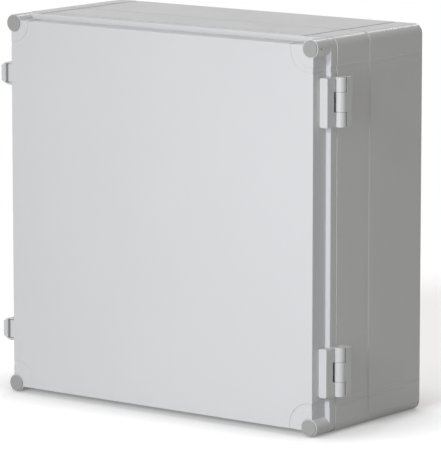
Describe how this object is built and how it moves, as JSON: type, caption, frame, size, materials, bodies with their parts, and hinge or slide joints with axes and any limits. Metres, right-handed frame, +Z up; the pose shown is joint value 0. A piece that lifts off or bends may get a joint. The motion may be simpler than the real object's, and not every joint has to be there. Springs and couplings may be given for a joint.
{
  "type": "electrical junction box",
  "caption": "Square wall-mounted plastic junction box with a side-hinged door, side latches, sealed extension frame, and a terminal rail on a plate inside.",
  "frame": {"origin": "centre of the rear wall's outer face, which lies against the wall", "axes": "+Z up, +Y into the wall, +X to the right as seen from the door side; the door faces -Y and is hinged on the +X side"},
  "size_m": [0.4287, 0.183, 0.4],
  "materials": {
    "enclosure_plastic": "fine satin moulded, light grey",
    "fitting_plastic": "satin moulded, light grey",
    "cap_plastic": "satin moulded, mid grey",
    "seal_rubber": "foamed, matt",
    "galvanised_steel": "galvanised sheet",
    "plated_rail": "zinc plated",
    "zinc_screws": "zinc plated",
    "brass": "turned",
    "terminal_plastic": "moulded, grey",
    "earth_plastic": "moulded, green and yellow",
    "stop_plastic": "moulded, dark grey"
  },
  "bodies": {
    "root": {"rear_base": "enclosure_plastic", "extension_frame": "enclosure_plastic", "frame_seal": "seal_rubber", "frame_screws": "zinc_screws", "upper_hinge_frame_leaf": "fitting_plastic", "upper_hinge_pin": "zinc_screws", "lower_hinge_frame_leaf": "fitting_plastic", "lower_hinge_pin": "zinc_screws", "hinge_frame_screws": "zinc_screws", "upper_latch_keeper": "fitting_plastic", "lower_latch_keeper": "fitting_plastic", "latch_keeper_screws": "zinc_screws", "mounting_plate": "galvanised_steel", "plate_inserts": "brass", "plate_screws": "zinc_screws", "din_rail": "plated_rail", "rail_screws": "zinc_screws", "terminal_1": "terminal_plastic", "terminal_2": "terminal_plastic", "terminal_3": "terminal_plastic", "terminal_4": "terminal_plastic", "terminal_5": "terminal_plastic", "terminal_6": "terminal_plastic", "terminal_7": "terminal_plastic", "terminal_8": "terminal_plastic", "terminal_9": "terminal_plastic", "terminal_10": "terminal_plastic", "earth_terminal": "earth_plastic", "terminal_screws": "zinc_screws", "left_end_stop": "stop_plastic", "right_end_stop": "stop_plastic"},
    "door": {"door": "enclosure_plastic", "door_seal": "seal_rubber", "upper_left_door_cap": "cap_plastic", "lower_left_door_cap": "cap_plastic", "upper_right_door_cap": "cap_plastic", "lower_right_door_cap": "cap_plastic", "upper_hinge_door_leaf": "fitting_plastic", "lower_hinge_door_leaf": "fitting_plastic", "hinge_door_screws": "zinc_screws", "upper_latch_bracket": "fitting_plastic", "upper_latch_pin": "zinc_screws", "lower_latch_bracket": "fitting_plastic", "lower_latch_pin": "zinc_screws", "latch_bracket_screws": "zinc_screws"},
    "upper_latch_lever": {"upper_latch_lever": "fitting_plastic"},
    "lower_latch_lever": {"lower_latch_lever": "fitting_plastic"}
  },
  "joints": [
    {"name": "door_hinge", "type": "hinge", "parent": "root", "child": "door", "pos_m": [0.206, -0.1515, 0], "axis": [0, 0, 1], "range_deg": [0, 120]},
    {"name": "upper_latch_pivot", "type": "hinge", "parent": "door", "child": "upper_latch_lever", "pos_m": [-0.2061, -0.1682, 0.136], "axis": [0, 0, 1], "range_deg": [0, 40]},
    {"name": "lower_latch_pivot", "type": "hinge", "parent": "door", "child": "lower_latch_lever", "pos_m": [-0.2061, -0.1682, -0.136], "axis": [0, 0, 1], "range_deg": [0, 40]}
  ]
}
